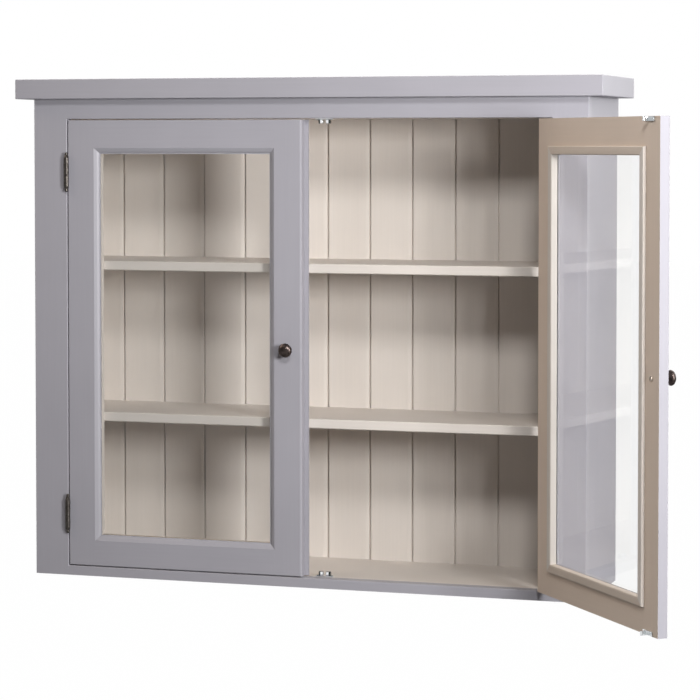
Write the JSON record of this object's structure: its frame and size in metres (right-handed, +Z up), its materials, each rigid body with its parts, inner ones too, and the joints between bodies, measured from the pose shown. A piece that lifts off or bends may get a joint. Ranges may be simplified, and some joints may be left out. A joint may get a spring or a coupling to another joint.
{
  "type": "wall cabinet",
  "caption": "Wall-hung display cabinet with a thick overhanging top, a face frame, glazed doors on butt hinges, ball catches, fixed shelves and a grooved board back.",
  "frame": {"origin": "centre of the hanging rail's wall face", "axes": "+X to the right as seen from the front, +Y into the wall, +Z up; the doors face -Y"},
  "size_m": [1.3575, 0.6594, 0.9643],
  "materials": {
    "grey_paint": "hand-painted eggshell, lilac grey",
    "cream_paint": "hand-painted eggshell, warm cream",
    "bronze": "dark bronze, satin",
    "chrome": "bright plated",
    "steel": "plain steel screw",
    "clear_glass": "clear float glass"
  },
  "bodies": {
    "cabinet": {"top_board": "grey_paint", "carcass_top": "cream_paint", "left_side_panel": "grey_paint", "right_side_panel": "grey_paint", "bottom_board": "cream_paint", "left_frame_stile": "grey_paint", "right_frame_stile": "grey_paint", "top_frame_rail": "grey_paint", "bottom_frame_rail": "grey_paint", "upper_shelf": "cream_paint", "lower_shelf": "cream_paint", "back_boards": "cream_paint", "hanging_rail": "cream_paint", "wall_batten": "cream_paint", "left_lower_frame_leaf": "bronze", "left_lower_hinge_pin": "bronze", "left_upper_frame_leaf": "bronze", "left_upper_hinge_pin": "bronze", "right_lower_frame_leaf": "bronze", "right_lower_hinge_pin": "bronze", "right_upper_frame_leaf": "bronze", "right_upper_hinge_pin": "bronze", "upper_catch": "chrome", "lower_catch": "chrome"},
    "left_door": {"left_lower_door_leaf": "bronze", "left_upper_door_leaf": "bronze", "left_door_hinge_stile": "grey_paint", "left_door_lock_stile": "grey_paint", "left_door_top_rail": "grey_paint", "left_door_bottom_rail": "grey_paint", "left_door_front_moulding": "grey_paint", "left_door_glass_pane": "clear_glass", "left_door_top_bead": "cream_paint", "left_door_bottom_bead": "cream_paint", "left_door_hinge_side_bead": "cream_paint", "left_door_lock_side_bead": "cream_paint", "left_door_meeting_strip": "grey_paint", "left_door_knob": "bronze", "left_door_knob_screw": "steel"},
    "right_door": {"right_lower_door_leaf": "bronze", "right_upper_door_leaf": "bronze", "right_door_hinge_stile": "grey_paint", "right_door_lock_stile": "grey_paint", "right_door_top_rail": "grey_paint", "right_door_bottom_rail": "grey_paint", "right_door_front_moulding": "grey_paint", "right_door_glass_pane": "clear_glass", "right_door_top_bead": "cream_paint", "right_door_bottom_bead": "cream_paint", "right_door_hinge_side_bead": "cream_paint", "right_door_lock_side_bead": "cream_paint", "right_door_knob": "bronze", "right_door_knob_screw": "steel", "right_door_upper_strike": "chrome", "right_door_lower_strike": "chrome"},
    "upper_left_ball": {"upper_catch_left_ball": "chrome"},
    "upper_right_ball": {"upper_catch_right_ball": "chrome"},
    "lower_left_ball": {"lower_catch_left_ball": "chrome"},
    "lower_right_ball": {"lower_catch_right_ball": "chrome"}
  },
  "joints": [
    {"name": "left_door_hinge", "type": "hinge", "parent": "cabinet", "child": "left_door", "pos_m": [-0.48, -0.2671, 0], "axis": [0, 0, -1], "range_deg": [0, 170]},
    {"name": "right_door_hinge", "type": "hinge", "parent": "cabinet", "child": "right_door", "pos_m": [0.48, -0.2671, 0], "axis": [0, 0, 1], "range_deg": [-128, 42]},
    {"name": "upper_left_ball_press", "type": "slide", "parent": "cabinet", "child": "upper_left_ball", "axis": [-1, 0, 0], "range_m": [0, 0.0012], "stiffness_N_per_m": 200, "springref_m": -0.002},
    {"name": "upper_right_ball_press", "type": "slide", "parent": "cabinet", "child": "upper_right_ball", "axis": [1, 0, 0], "range_m": [0, 0.0012], "stiffness_N_per_m": 200, "springref_m": -0.002},
    {"name": "lower_left_ball_press", "type": "slide", "parent": "cabinet", "child": "lower_left_ball", "axis": [-1, 0, 0], "range_m": [0, 0.0012], "stiffness_N_per_m": 200, "springref_m": -0.002},
    {"name": "lower_right_ball_press", "type": "slide", "parent": "cabinet", "child": "lower_right_ball", "axis": [1, 0, 0], "range_m": [0, 0.0012], "stiffness_N_per_m": 200, "springref_m": -0.002}
  ]
}
